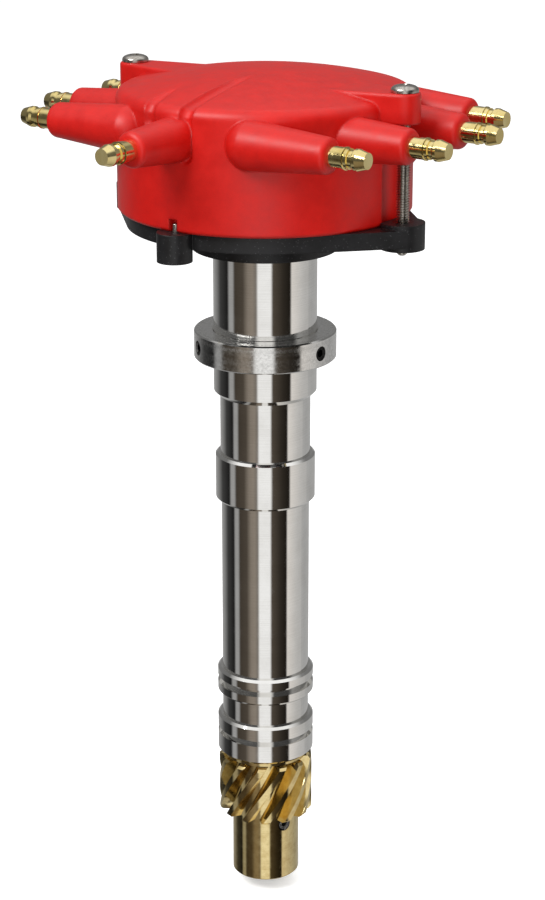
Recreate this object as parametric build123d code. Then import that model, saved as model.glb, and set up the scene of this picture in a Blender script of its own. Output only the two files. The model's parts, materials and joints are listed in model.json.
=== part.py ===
from build123d import *
import math
import os

# Ignition distributor for a V8 engine whose block is bored 1.270 in for it.
# Frame: the shaft's axis is Z, Z = 0 is the underside of the slip collar, where the
# distributor sits on its manifold pad, +Z points up to the cap, and +X points along the
# line through the two cap screws. Every length is in millimetres, every angle in degrees.

# ---- fits and clearances ----
running_clearance = 0.05        # radial, between a turning or sliding pair
cap_clearance = 0.15            # radial, between the cap and its locating ring
pocket_clearance = 0.10         # radial, round a flange or a head in its pocket
end_float = 0.15                # axial play of the shaft at the thrust washer
brush_gap = 0.10                # carbon brush to rotor blade at rest

# ---- housing: billet aluminium, from the base down to the drive gear ----
collar_to_base = 36.1           # collar seat up to the underside of the cap base
body_radius = 16.75
body_below_seat = 12.6          # body that hangs below the collar seat
body_chamfer = 1.5
neck_radius = 14.75
neck_length = 19.8
guide_band_radius = 16.35
guide_band_length = 16.0
tube_radius = 14.475
tube_length = 59.9
land_radius = 16.125            # runs in the block's bore
land_chamfer = 0.8
land_groove_depth = 1.9
upper_land_bands = (3.3, 3.4)   # above and below the ring groove
upper_groove_width = 2.4
oil_gallery_length = 8.1        # neck between the two lands
lower_land_bands = (4.8, 6.6)
lower_groove_width = 2.0
housing_bore_radius = 8.4
flange_reach = 5.65             # flange beyond the body
flange_radius = body_radius + flange_reach
flange_thickness = 4.0

# ---- bearing, bushing and shaft ----
shaft_radius = 6.35
bearing_radius = 14.29
bearing_width = 7.94
bearing_ball_radius = 2.38
bearing_ball_count = 8
bearing_pitch_radius = 10.3
race_play = 0.12                # ball to race groove
cage_half_width = 0.7
cage_half_height = 2.9
bearing_shoulder_width = 2.9    # housing ledge under the outer race
clip_thickness = 1.1
clip_depth = 0.75               # how far the clip enters its groove
clip_width = 1.9
clip_land = 0.95                # flange left above the clip groove
clip_gap = 7.0
clip_lug_angle = 19.0
clip_eye_radius = 0.6
shield_thickness = 0.4
bushing_radius = 9.5
bushing_length = 25.0
thrust_washer_radius = 14.0
thrust_washer_thickness = 1.6
shim_radius = 13.0
shim_thickness = 0.5

# ---- drive gear: bronze, helical ----
tooth_count = 13
gear_tip_radius = 15.8
gear_root_radius = 11.8
gear_face_width = 20.5
gear_lead = 143.0               # one turn of the right-hand helix
tooth_tip_share = 0.30          # of the tooth pitch, at the tip
tooth_root_share = 0.70         # of the tooth pitch, at the root
gear_end_chamfer = 0.8
gear_hub_radius = 11.3
gear_hub_length = 23.5
gear_pin_radius = 2.4
gear_pin_drop = 2.9             # pin axis below the teeth
gear_pin_angle = -20.2
pump_slot_width = 5.0
pump_slot_depth = 6.5

# ---- slip collar ----
collar_radius = 23.05
collar_height = 9.15
collar_chamfer = 0.4
collar_screw_radius = 2.4
collar_screw_count = 3
collar_screw_angle = -4.5
collar_screw_sink = 0.4
collar_socket_width = 2.4
collar_socket_depth = 2.6

# ---- cap base: black moulded plastic ----
tier_radius = 23.5
tier_height = 7.8
plate_radius = 44.0
plate_thickness = 5.4
base_floor_thickness = 2.4
base_recess_radius = 36.0
base_ear_radius = 7.0
base_ear_rise = 1.4             # ear boss above the plate
base_ear_drop = 1.4             # ear boss below the plate
base_rib_thickness = 4.4
base_rib_drop = 4.1             # rib depth below the plate, near the tier
base_rib_flat = 3.5             # level stretch of the rib beside the tier
locating_ring_height = 2.0
locating_ring_width = 2.4
pin_boss_radius = 5.5
pin_boss_inset = 0.7            # boss axis inside the cap wall
pin_boss_drop = 3.7
locating_pin_radius = 1.0
locating_pin_inset = 1.4        # pin axis inside the cap wall
locating_pin_rise = 2.6
locating_pin_sink = 6.0
base_screw_offset = 2.85        # screw axis beyond the body
base_screw_circle = body_radius + base_screw_offset
base_screw_count = 3
base_screw_radius = 1.75
base_screw_head_radius = 2.75
base_screw_head_height = 2.0
base_screw_grip = 6.2           # thread length in the base
base_screw_angle = 30.0

# ---- cap: red moulded plastic ----
cap_radius = 46.7
pin_boss_centre = cap_radius - pin_boss_inset
locating_pin_centre = cap_radius - locating_pin_inset
cap_wall = 4.0
cap_height = 43.7               # rim to crown
cap_rim_chamfer = 0.7
crown_drop = 6.1                # fall of the domed top from its middle to the wall line
crown_flat_radius = 1.0         # gate flat at the middle of the crown
shoulder_fillet = 3.5
cap_ceiling_height = 23.2       # rim to the ceiling over the rotor
ceiling_fillet = 4.0
cap_ear_offset = 51.3           # screw axis from the shaft axis
cap_ear_radius = 5.0
cap_ear_flare = 11.0            # degrees that each side opens towards the dome
cap_ear_thickness = 9.2
cap_ear_below_crown = 2.6
cap_ear_root = 22.0
cap_ear_edge_round = 0.8
flute_radius = 6.5
notch_width = 3.1
notch_height = 3.9
notch_depth = 2.9
coil_heading = -91.5            # coil tower, pin boss and notch, seen from above

# ---- towers and terminals ----
tower_height = 28.1             # tower axis above the rim
inner_tower_offset = 14.9
outer_tower_inset = 6.7         # outer tower axes, inside the line of the wall
inner_tower_length = 19.3       # from the cap's wall to the end face
outer_tower_length = 27.7
coil_tower_length = 19.9
tower_end_radius = 5.4
tower_taper = 4.4               # degrees on each side
tower_edge_round = 1.8
tower_root_flat = 1.0           # flat at the pole of a tower's ball root
inner_root_depth = 12.5         # ball root inside the line of the wall
outer_root_depth = 1.6
post_base_radius = 3.25
post_base_length = 4.6
post_ring_radius = 3.45
post_ring_length = 0.65
post_neck_radius = 3.1
post_neck_length = 1.2
post_waist_radius = 2.7
post_waist_length = 1.4
post_bulb_radius = 3.3
post_bulb_length = 1.6
post_nose_length = 2.9
post_nose_radius = 2.45
shank_radius = 2.2
shank_depth = 22.0
conductor_radius = 1.6
conductor_cover = 0.6           # post and cup metal above and below the conductor
socket_radius = 3.2
electrode_circle = 31.0
electrode_radius = 2.5
electrode_drop = 16.8           # below the tower axis

# ---- grooves on both sides of the coil ridge ----
groove_radius = 2.6
groove_depth = 1.6
groove_start_lift = 2.8         # cutter axis above the dome, where the groove runs out
groove_bend = 2.6               # length that its bend takes off each side of the shoulder
right_groove_offset = 3.8
right_groove_start = 11.0       # in front of the shaft axis, where it leaves the crown
right_groove_foot = 4.4         # below the tower axis
left_groove_offset = -10.7
left_groove_start = 31.0
left_groove_foot = -4.6

# ---- carbon brush ----
brush_radius = 2.5
brush_cup_radius = 3.6
brush_length = 6.5
brush_turret_radius = 6.0
brush_turret_drop = 5.9
brush_spring_radius = 1.9
brush_spring_wire = 0.5
brush_spring_turns = 4

# ---- rotor ----
hub_boss_radius = 8.5
hub_boss_height = 5.0
hub_plate_radius = 18.5
hub_plate_thickness = 4.0
shaft_above_hub = 2.0
rotor_flange_thickness = 4.0
rotor_pedestal_radius = 11.5
rotor_pedestal_height = 7.4
rotor_pedestal_flare = 1.5      # wider at the foot than at the top
rotor_arm_width = 12.0
rotor_arm_reach = 24.5
rotor_arm_thickness = 4.6
rotor_wall = 2.2
rotor_screw_circle = 15.0
rotor_screw_radius = 1.75
rotor_screw_head_radius = 2.9
rotor_screw_head_height = 2.0
rotor_screw_grip = 3.6
rotor_screw_sink = 0.8          # head seat below the rotor flange
blade_thickness = 1.6
blade_width = 6.0
blade_tip_width = 11.0
blade_tip_length = 6.0
blade_pad_radius = 4.6
blade_gap = 0.6                 # spark gap from the blade to an electrode

# ---- cap screws ----
cap_screw_radius = 2.08
cap_screw_hole = 2.3
cap_screw_head_radius = 4.3
cap_screw_head_height = 2.4
cap_screw_tip = 2.2             # thread that stands out below the base ear
insert_radius = 3.2

# ---- heights that follow from the lengths above ----
z_body_end = -body_below_seat
z_neck_end = z_body_end - neck_length
z_band_end = z_neck_end - guide_band_length
z_tube_end = z_band_end - tube_length
z_upper_land_end = z_tube_end - sum(upper_land_bands) - upper_groove_width
z_gallery_end = z_upper_land_end - oil_gallery_length
z_housing_end = z_gallery_end - sum(lower_land_bands) - lower_groove_width
z_washer_end = z_housing_end - thrust_washer_thickness
z_shim_end = z_washer_end - shim_thickness
z_gear_top = z_shim_end - end_float
z_teeth_end = z_gear_top - gear_face_width
z_bottom = z_teeth_end - gear_hub_length
z_tier = collar_to_base
z_plate = z_tier + tier_height
z_rim = z_plate + plate_thickness
z_floor = z_plate + base_floor_thickness
z_flange_top = z_plate + flange_thickness
z_clip_top = z_flange_top - clip_land
z_bearing_top = z_clip_top - clip_thickness
z_bearing_end = z_bearing_top - bearing_width
z_crown = z_rim + cap_height
z_ceiling = z_rim + cap_ceiling_height
z_corner = z_crown - crown_drop
z_tower = z_rim + tower_height
z_ear_top = z_crown - cap_ear_below_crown
z_ear_bottom = z_ear_top - cap_ear_thickness
z_hub_plate = z_bearing_top + hub_boss_height
z_rotor = z_hub_plate + hub_plate_thickness
z_shaft_top = z_rotor + shaft_above_hub
z_rotor_top = z_rotor + rotor_pedestal_height
z_blade_top = z_rotor_top + blade_thickness
z_brush_tip = z_blade_top + brush_gap
z_brush_top = z_brush_tip + brush_length
z_electrode_end = z_tower - electrode_drop
cup_half = conductor_radius + conductor_cover
cap_bore_radius = cap_radius - cap_wall
outer_tower_offset = cap_radius - outer_tower_inset
coil_tower_reach = cap_radius + coil_tower_length
blade_reach = electrode_circle - electrode_radius - blade_gap


def disc(radius, z_low, z_high, x=0.0, y=0.0):
    """An upright cylinder between two heights."""
    return Pos(x, y, (z_low + z_high) / 2) * Cylinder(radius, z_high - z_low)


def ring(outer, inner, z_low, z_high):
    """A flat ring between two heights."""
    return disc(outer, z_low, z_high) - disc(inner, z_low - 1, z_high + 1)


def turned(*points):
    """A solid of revolution from (radius, height) points, closed on the axis."""
    outline = Polyline(*[(r, 0, z) for r, z in points], close=True)
    return revolve(make_face(outline), Axis.Z)


def polar(radius, angle):
    """The point at a radius and an angle in the XY plane."""
    return radius * math.cos(math.radians(angle)), radius * math.sin(math.radians(angle))


def laid(part, x, y, z, heading):
    """Lay a Z-axis part down so that its axis leaves (x, y, z) along a heading."""
    return Pos(x, y, z) * Rot(0, 0, heading) * Rot(0, 90, 0) * part


# Each tower: where its axis is, which way it points, where it starts and how far it reaches.
plug_towers = []
for side in (1, -1):
    for offset in (-outer_tower_offset, -inner_tower_offset, inner_tower_offset, outer_tower_offset):
        outer = abs(offset) == outer_tower_offset
        wall = math.sqrt(cap_radius ** 2 - offset ** 2)
        plug_towers.append({
            "y": offset * side,
            "heading": 0 if side == 1 else 180,
            "side": side,
            "reach": wall + (outer_tower_length if outer else inner_tower_length),
            "root": wall - (outer_root_depth if outer else inner_root_depth),
        })
electrode_angles = {}
electrode_step = 360 / len(plug_towers)
for tower in plug_towers:
    rank = sorted(t["y"] for t in plug_towers if t["side"] == tower["side"]).index(tower["y"])
    angle = (rank - 1.5) * electrode_step
    electrode_angles[id(tower)] = angle if tower["side"] == 1 else 180 - angle


# ---------------- housing and what it carries ----------------

def land(z_top, bands, groove_width):
    """Outline points of one block land, from its top chamfer to its bottom one."""
    z1 = z_top - bands[0]
    z2 = z1 - groove_width
    z3 = z2 - bands[1]
    neck_radius = land_radius - land_groove_depth
    return [
        (land_radius - land_chamfer, z_top),
        (land_radius, z_top - land_chamfer),
        (land_radius, z1),
        (neck_radius, z1),
        (neck_radius, z2),
        (land_radius, z2),
        (land_radius, z3 + land_chamfer),
        (land_radius - land_chamfer, z3),
    ]


def housing():
    """The bored billet housing with its top flange."""
    clip_groove = bearing_radius + clip_depth
    outline = [
        (0, z_flange_top),
        (flange_radius, z_flange_top),
        (flange_radius, z_plate),
        (body_radius, z_plate),
        (body_radius, z_body_end + body_chamfer),
        (body_radius - body_chamfer, z_body_end),
        (neck_radius, z_body_end),
        (neck_radius, z_neck_end),
        (guide_band_radius - land_chamfer, z_neck_end),
        (guide_band_radius, z_neck_end - land_chamfer),
        (guide_band_radius, z_band_end + land_chamfer),
        (guide_band_radius - land_chamfer, z_band_end),
        (tube_radius, z_band_end),
        (tube_radius, z_tube_end),
        *land(z_tube_end, upper_land_bands, upper_groove_width),
        (tube_radius, z_upper_land_end),
        (tube_radius, z_gallery_end),
        *land(z_gallery_end, lower_land_bands, lower_groove_width),
        (0, z_housing_end),
    ]
    bore = turned(
        (0, z_flange_top + 1),
        (bearing_radius, z_flange_top + 1),
        (bearing_radius, z_clip_top),
        (clip_groove, z_clip_top),
        (clip_groove, z_bearing_top),
        (bearing_radius, z_bearing_top),
        (bearing_radius, z_bearing_end),
        (bearing_radius - bearing_shoulder_width, z_bearing_end),
        (bearing_radius - bearing_shoulder_width, z_bearing_end - bearing_shoulder_width),
        (housing_bore_radius, z_bearing_end - 2 * bearing_shoulder_width),
        (housing_bore_radius, z_housing_end + bushing_length),
        (bushing_radius, z_housing_end + bushing_length),
        (bushing_radius, z_housing_end - 1),
        (0, z_housing_end - 1),
    )
    part = turned(*outline) - bore
    for k in range(base_screw_count):
        x, y = polar(base_screw_circle, base_screw_angle + k * 360 / base_screw_count)
        part -= disc(base_screw_radius, z_plate - 1, z_flange_top + 1, x, y)
    return part


def lower_bushing():
    """The bronze bushing pressed into the bottom of the housing."""
    inner = shaft_radius + running_clearance
    return ring(bushing_radius, inner, z_housing_end, z_housing_end + bushing_length)


def bearing_races():
    """Outer and inner race, each with its ball groove."""
    z_mid = (z_bearing_top + z_bearing_end) / 2
    groove = bearing_ball_radius + race_play
    half_land = bearing_ball_radius * 0.6
    track = Pos(0, 0, z_mid) * Torus(bearing_pitch_radius, groove)
    outer = ring(bearing_radius, bearing_pitch_radius + half_land, z_bearing_end, z_bearing_top)
    inner = ring(bearing_pitch_radius - half_land, shaft_radius, z_bearing_end, z_bearing_top)
    return outer - track, inner - track


def bearing_set():
    """The balls and the cage that spaces them."""
    z_mid = (z_bearing_top + z_bearing_end) / 2
    balls = []
    cage = ring(bearing_pitch_radius + cage_half_width, bearing_pitch_radius - cage_half_width,
                z_mid - cage_half_height, z_mid + cage_half_height)
    for k in range(bearing_ball_count):
        heading = k * 360 / bearing_ball_count
        x, y = polar(bearing_pitch_radius, heading)
        balls.append(Pos(x, y, z_mid) * Sphere(bearing_ball_radius))
        pocket = Cylinder(bearing_ball_radius + running_clearance, 4 * cage_half_width)
        cage -= laid(pocket, x, y, z_mid, heading)
    return Compound(children=balls), cage


def bearing_shields():
    """The two thin shields pressed into the outer race."""
    half_land = bearing_ball_radius * 0.6
    outer = bearing_pitch_radius + half_land
    inner = bearing_pitch_radius - half_land + 2 * race_play
    low = ring(outer, inner, z_bearing_end + shield_thickness, z_bearing_end + 2 * shield_thickness)
    high = ring(outer, inner, z_bearing_top - 2 * shield_thickness, z_bearing_top - shield_thickness)
    return Compound(children=[low, high])


def bearing_clip():
    """The internal snap ring over the bearing, with its gap."""
    outer = bearing_radius + clip_depth
    part = ring(outer, outer - clip_width, z_bearing_top, z_clip_top)
    gap = Pos(outer, 0, (z_bearing_top + z_clip_top) / 2) * Box(4 * clip_width, clip_gap, clip_thickness + 1)
    part -= gap
    for turn in (1, -1):
        x, y = polar(outer - clip_width, turn * clip_lug_angle)
        lug = disc(clip_width * 0.8, z_bearing_top, z_clip_top, x, y)
        part += lug & disc(outer - clip_depth, z_bearing_top, z_clip_top)
        part -= disc(clip_eye_radius, z_bearing_top - 1, z_clip_top + 1, x, y)
    return part


# ---------------- slip collar ----------------

def slip_collar():
    """The clamping collar that slides on the housing and sets its depth."""
    part = ring(collar_radius, body_radius + running_clearance, 0, collar_height)
    part = chamfer(part.edges().filter_by(GeomType.CIRCLE), collar_chamfer)
    for k in range(collar_screw_count):
        heading = collar_screw_angle + k * 360 / collar_screw_count
        hole = Pos(0, 0, (body_radius + collar_radius) / 2) * Cylinder(collar_screw_radius, collar_radius)
        part -= laid(hole, 0, 0, collar_height / 2, heading) - disc(body_radius, -1, collar_height + 1)
    return part


def collar_set_screws():
    """Socket set screws that clamp the collar to the housing."""
    z_out = collar_radius - collar_screw_sink
    z_in = body_radius + 2 * running_clearance
    screws = []
    for k in range(collar_screw_count):
        heading = collar_screw_angle + k * 360 / collar_screw_count
        body = disc(collar_screw_radius, z_in, z_out)
        body = chamfer(body.edges().filter_by(GeomType.CIRCLE).sort_by(Axis.Z)[0], 0.5)
        socket = extrude(RegularPolygon(collar_socket_width / 2, 6, major_radius=False), collar_socket_depth)
        body -= Pos(0, 0, z_out - collar_socket_depth) * socket
        screws.append(laid(body, 0, 0, collar_height / 2, heading))
    return Compound(children=screws)


# ---------------- cap base ----------------

def base_outline():
    """Plate outline: a disc drawn out by tangents to its two ears."""
    lean = math.degrees(math.acos((plate_radius - base_ear_radius) / cap_ear_offset))
    corners = []
    for heading in (lean, 180 - lean, 180 + lean, 360 - lean):
        ear_x = cap_ear_offset if heading in (lean, 360 - lean) else -cap_ear_offset
        px, py = polar(plate_radius, heading)
        ex, ey = polar(base_ear_radius, heading)
        corners.append([(px, py), (ear_x + ex, ey)])
    (p1, e1), (p2, e2), (p3, e3), (p4, e4) = corners
    far = cap_ear_offset + base_ear_radius
    with BuildSketch() as outline:
        with BuildLine():
            Line(e1, p1)
            ThreePointArc(p1, (0, plate_radius), p2)
            Line(p2, e2)
            ThreePointArc(e2, (-far, 0), e3)
            Line(e3, p3)
            ThreePointArc(p3, (0, -plate_radius), p4)
            Line(p4, e4)
            ThreePointArc(e4, (far, 0), e1)
        make_face()
    return outline.sketch


def cap_base():
    """The black base: plate, tier, ears with ribs, pin boss and locating ring."""
    part = Pos(0, 0, z_plate) * extrude(base_outline(), plate_thickness)
    part += disc(tier_radius, z_tier, z_plate + 0.5)
    for side in (1, -1):
        x = side * cap_ear_offset
        part += disc(base_ear_radius, z_plate - base_ear_drop, z_rim + base_ear_rise, x, 0)
        inner = tier_radius - 1
        rib_outline = Polyline(
            (side * inner, 0, z_plate + 1),
            (x, 0, z_plate + 1),
            (x, 0, z_plate - base_ear_drop),
            (side * (tier_radius + base_rib_flat), 0, z_plate - base_rib_drop),
            (side * inner, 0, z_plate - base_rib_drop),
            close=True,
        )
        part += extrude(make_face(rib_outline), base_rib_thickness / 2, both=True)
    part += disc(pin_boss_radius, z_plate - pin_boss_drop, z_rim, *polar(pin_boss_centre, coil_heading))
    ring_radius = cap_bore_radius - cap_clearance
    part += ring(ring_radius, ring_radius - locating_ring_width, z_rim - 1, z_rim + locating_ring_height)
    part -= disc(cap_radius + cap_clearance, z_rim, z_rim + 10) - disc(ring_radius, z_rim - 1, z_rim + 11)
    part -= disc(base_recess_radius, z_floor, z_rim + 1)
    part -= disc(flange_radius + pocket_clearance, z_plate, z_rim + 1)
    part -= disc(body_radius + pocket_clearance, z_tier - 1, z_rim + 1)
    for side in (1, -1):
        part -= disc(insert_radius, z_tier, z_rim + 10, side * cap_ear_offset, 0)
    for k in range(base_screw_count):
        x, y = polar(base_screw_circle, base_screw_angle + k * 360 / base_screw_count)
        part -= disc(base_screw_radius, z_plate - base_screw_grip, z_plate + 1, x, y)
    pin_x, pin_y = polar(locating_pin_centre, coil_heading)
    part -= disc(locating_pin_radius, z_rim - locating_pin_sink, z_rim + 10, pin_x, pin_y)
    return part


def ear_inserts():
    """Threaded brass inserts moulded into the base's ears."""
    inserts = []
    for side in (1, -1):
        x = side * cap_ear_offset
        low = z_plate - base_ear_drop
        high = z_rim + base_ear_rise
        inserts.append(disc(insert_radius, low, high, x, 0) - disc(cap_screw_radius, low - 1, high + 1, x, 0))
    return Compound(children=inserts)


def locating_pin():
    """The steel pin that keys the cap to its base."""
    x, y = polar(locating_pin_centre, coil_heading)
    pin = disc(locating_pin_radius, z_rim - locating_pin_sink, z_rim + locating_pin_rise, x, y)
    return fillet(pin.edges().filter_by(GeomType.CIRCLE).sort_by(Axis.Z)[-1], 0.5)


def pan_head(radius, height):
    """A domed screw head that stands on Z = 0."""
    edge = height * 0.42
    with BuildSketch(Plane.XZ) as half:
        with BuildLine():
            Line((0, 0), (radius, 0))
            Line((radius, 0), (radius, edge))
            ThreePointArc((radius, edge), (radius * 0.76, height * 0.83), (radius * 0.3, height))
            Line((radius * 0.3, height), (0, height))
            Line((0, height), (0, 0))
        make_face()
    return revolve(half.sketch, Axis.Z)


def cross_recess(width, depth):
    """The cross-shaped driver recess below Z = 0."""
    arm = Pos(0, 0, -depth / 2) * Box(2 * width, width * 0.36, depth)
    return arm + Rot(0, 0, 90) * arm


def pan_screw(radius, head_radius, head_height, length):
    """A pan-head screw with its head's seat at Z = 0."""
    head = pan_head(head_radius, head_height)
    head -= Pos(0, 0, head_height) * cross_recess(head_radius * 0.52, head_height * 0.55)
    shank = disc(radius, -length, 0)
    shank = chamfer(shank.edges().filter_by(GeomType.CIRCLE).sort_by(Axis.Z)[0], radius * 0.25)
    return head + shank


def socket_screw(radius, head_radius, head_height, length):
    """A low socket-head screw with its head's seat at Z = 0."""
    head = disc(head_radius, 0, head_height)
    head = chamfer(head.edges().filter_by(GeomType.CIRCLE).sort_by(Axis.Z)[-1], head_height * 0.15)
    depth = head_height * 0.7
    socket = extrude(RegularPolygon(head_radius * 0.45, 6, major_radius=False), depth)
    head -= Pos(0, 0, head_height - depth) * socket
    shank = disc(radius, -length, 0)
    shank = chamfer(shank.edges().filter_by(GeomType.CIRCLE).sort_by(Axis.Z)[0], radius * 0.25)
    return head + shank


def base_screws():
    """Three socket screws through the housing flange into the base."""
    length = flange_thickness + base_screw_grip
    screws = []
    for k in range(base_screw_count):
        x, y = polar(base_screw_circle, base_screw_angle + k * 360 / base_screw_count)
        screw = socket_screw(base_screw_radius, base_screw_head_radius, base_screw_head_height, length)
        screws.append(Pos(x, y, z_flange_top) * screw)
    return Compound(children=screws)


def cap_screws():
    """The two long screws that hold the cap down on its base."""
    length = z_ear_top - (z_plate - base_ear_drop) + cap_screw_tip
    screws = []
    for side in (1, -1):
        screw = pan_screw(cap_screw_radius, cap_screw_head_radius, cap_screw_head_height, length)
        screws.append(Pos(side * cap_ear_offset, 0, z_ear_top) * screw)
    return Compound(children=screws)


# ---------------- terminals and electrodes ----------------

def terminal_post(seat):
    """A turned terminal along Z: its shank, seat ring, neck, waist and snap bulb.

    The tower's end face is at height seat."""
    z1 = seat + post_base_length
    z2 = z1 + post_ring_length
    z3 = z2 + post_neck_length
    z4 = z3 + post_waist_length
    z5 = z4 + post_bulb_length
    z6 = z5 + post_nose_length
    step = (post_ring_radius - post_base_radius) / 2
    return turned(
        (0, seat - shank_depth),
        (shank_radius, seat - shank_depth),
        (shank_radius, seat),
        (post_base_radius, seat),
        (post_base_radius, z1),
        (post_ring_radius, z1 + step),
        (post_ring_radius, z2 - step),
        (post_neck_radius, z2),
        (post_neck_radius, z3),
        (post_waist_radius, z3),
        (post_waist_radius, z4),
        (post_bulb_radius, z4 + post_bulb_radius - post_waist_radius),
        (post_bulb_radius, z5),
        (post_nose_radius, z6),
        (0, z6),
    )


def plug_terminals():
    """The eight plug terminals, one in each tower."""
    posts = [laid(terminal_post(t["reach"]), 0, t["y"], z_tower, t["heading"]) for t in plug_towers]
    return Compound(children=posts)


def coil_terminal():
    """The coil terminal in the tower over the locating pin."""
    return laid(terminal_post(coil_tower_reach), 0, 0, z_tower, coil_heading)


def rod(start, end, radius):
    """A straight round rod between two points."""
    run = Vector(*end) - Vector(*start)
    centre = Vector(*start) + run * 0.5
    plane = Plane(origin=(centre.X, centre.Y, centre.Z), z_dir=(run.X, run.Y, run.Z))
    return plane * Cylinder(radius, run.length)


def plug_electrodes():
    """Moulded-in conductors, each from a plug terminal to its post over the rotor."""
    parts = []
    for t in plug_towers:
        inner_end = (t["reach"] - shank_depth) * t["side"]
        x, y = polar(electrode_circle, electrode_angles[id(t)])
        socket = Pos(inner_end, t["y"], z_tower) * Rot(0, 90, 0) * Cylinder(socket_radius, 2 * socket_radius)
        bar = rod((inner_end, t["y"], z_tower), (x, y, z_tower), conductor_radius)
        post = disc(electrode_radius, z_electrode_end, z_tower + cup_half, x, y)
        shank = laid(disc(shank_radius, inner_end * t["side"], t["reach"]), 0, t["y"], z_tower, t["heading"])
        parts.append(socket + bar + post - shank)
    return Compound(children=parts)


def coil_conductor():
    """Moulded-in conductor from the coil terminal to the cup over the carbon brush."""
    inner_end = coil_tower_reach - shank_depth
    x, y = polar(inner_end, coil_heading)
    socket = laid(Cylinder(socket_radius, 2 * socket_radius), x, y, z_tower, coil_heading)
    bar = rod((x, y, z_tower), (0, 0, z_tower), conductor_radius)
    cup = disc(brush_cup_radius, z_tower - cup_half, z_tower + cup_half)
    shank = laid(disc(shank_radius, inner_end, coil_tower_reach), 0, 0, z_tower, coil_heading)
    return socket + bar + cup - shank


def carbon_brush():
    """The sprung carbon brush that rides on the rotor blade."""
    brush = disc(brush_radius, z_brush_tip, z_brush_top)
    return chamfer(brush.edges().filter_by(GeomType.CIRCLE).sort_by(Axis.Z)[0], 0.4)


def brush_spring():
    """The coil spring between the conductor's cup and the brush."""
    z_cup = z_tower - cup_half
    wire = brush_spring_wire / 2
    rise = z_cup - z_brush_top - 2 * wire
    path = Helix(pitch=rise / brush_spring_turns, height=rise, radius=brush_spring_radius)
    section = Plane(origin=path @ 0, z_dir=path % 0) * RegularPolygon(wire, 6)
    return Pos(0, 0, z_brush_top + wire) * sweep(section, path=path, is_frenet=True)


# ---------------- cap ----------------

def cap_shell_outline():
    """Half outline of the cap's outer form: a low dome, a tight shoulder and the wall."""
    with BuildSketch(Plane.XZ) as sketch:
        with BuildLine():
            Line((0, z_rim), (cap_radius - cap_rim_chamfer, z_rim))
            Line((cap_radius - cap_rim_chamfer, z_rim), (cap_radius, z_rim + cap_rim_chamfer))
            Line((cap_radius, z_rim + cap_rim_chamfer), (cap_radius, z_corner))
            half_way = (cap_radius / 2, z_crown - crown_drop / 4)
            ThreePointArc((cap_radius, z_corner), half_way, (crown_flat_radius, z_crown))
            Line((crown_flat_radius, z_crown), (0, z_crown))
            Line((0, z_crown), (0, z_rim))
        make_face()
        corner = sketch.vertices().sort_by_distance((cap_radius, z_corner, 0))[0]
        fillet(corner, shoulder_fillet)
    return sketch.sketch


def tower(reach, root):
    """One tapered tower along Z, from its ball root to its rounded end.

    The ball meets the taper at height root, and its pole is a small flat."""
    taper = math.radians(tower_taper)
    root_radius = tower_end_radius + (reach - root) * math.tan(taper)
    ball = root_radius / math.cos(taper)
    centre = root + ball * math.sin(taper)
    pole = centre - math.sqrt(ball ** 2 - tower_root_flat ** 2)
    slant = ball * math.sqrt(0.5)
    with BuildSketch(Plane.XZ) as half:
        with BuildLine():
            Line((0, pole), (tower_root_flat, pole))
            ThreePointArc((tower_root_flat, pole), (slant, centre - slant), (root_radius, root))
            Line((root_radius, root), (tower_end_radius, reach))
            Line((tower_end_radius, reach), (0, reach))
            Line((0, reach), (0, pole))
        make_face()
        rim = half.vertices().sort_by_distance((tower_end_radius, reach, 0))[0]
        fillet(rim, tower_edge_round)
    return revolve(half.sketch, Axis.Z)


def ear_bar(side):
    """One cap ear: a bar that narrows from the dome to its round end at the screw."""
    flare = math.radians(cap_ear_flare)
    tangent_x = cap_ear_offset + cap_ear_radius * math.sin(flare)
    tangent_y = cap_ear_radius * math.cos(flare)
    tip_x = cap_ear_offset + cap_ear_radius
    root_half = tangent_y + (tangent_x - cap_ear_root) * math.tan(flare)
    with BuildSketch() as plan:
        with BuildLine():
            Line((cap_ear_root, -root_half), (tangent_x, -tangent_y))
            ThreePointArc((tangent_x, -tangent_y), (tip_x, 0), (tangent_x, tangent_y))
            Line((tangent_x, tangent_y), (cap_ear_root, root_half))
            Line((cap_ear_root, root_half), (cap_ear_root, -root_half))
        make_face()
    bar = Pos(0, 0, z_ear_bottom) * extrude(plan.sketch, cap_ear_thickness)
    bar = fillet(bar.edges().group_by(Axis.Z)[-1], cap_ear_edge_round)
    return Rot(0, 0, 0 if side == 1 else 180) * bar


def round_cutter(start, end):
    """A round-nosed bar of the groove's radius from one point to another."""
    run = end - start
    bar = Cylinder(groove_radius, run.length, align=(Align.CENTER, Align.CENTER, Align.MIN))
    return Plane(origin=start, z_dir=run.normalized()) * bar + Pos(*end) * Sphere(groove_radius)


def ridge_groove(x, start, foot):
    """A groove beside the coil ridge: along the dome, over the shoulder and down the wall."""
    lift = groove_radius - groove_depth
    wall = math.sqrt(cap_radius ** 2 - x ** 2) + lift
    z_dome = z_crown - crown_drop * (x * x + start * start) / cap_radius ** 2
    first = Vector(x, -start, z_dome + groove_start_lift)
    corner = Vector(x, -wall, z_corner + lift)
    bend_top = corner + (first - corner).normalized() * groove_bend
    bend_foot = corner - Vector(0, 0, groove_bend)
    last = Vector(x, -wall, z_tower - foot)
    return round_cutter(first, bend_top) + round_cutter(bend_top, bend_foot) + round_cutter(bend_foot, last)


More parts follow.
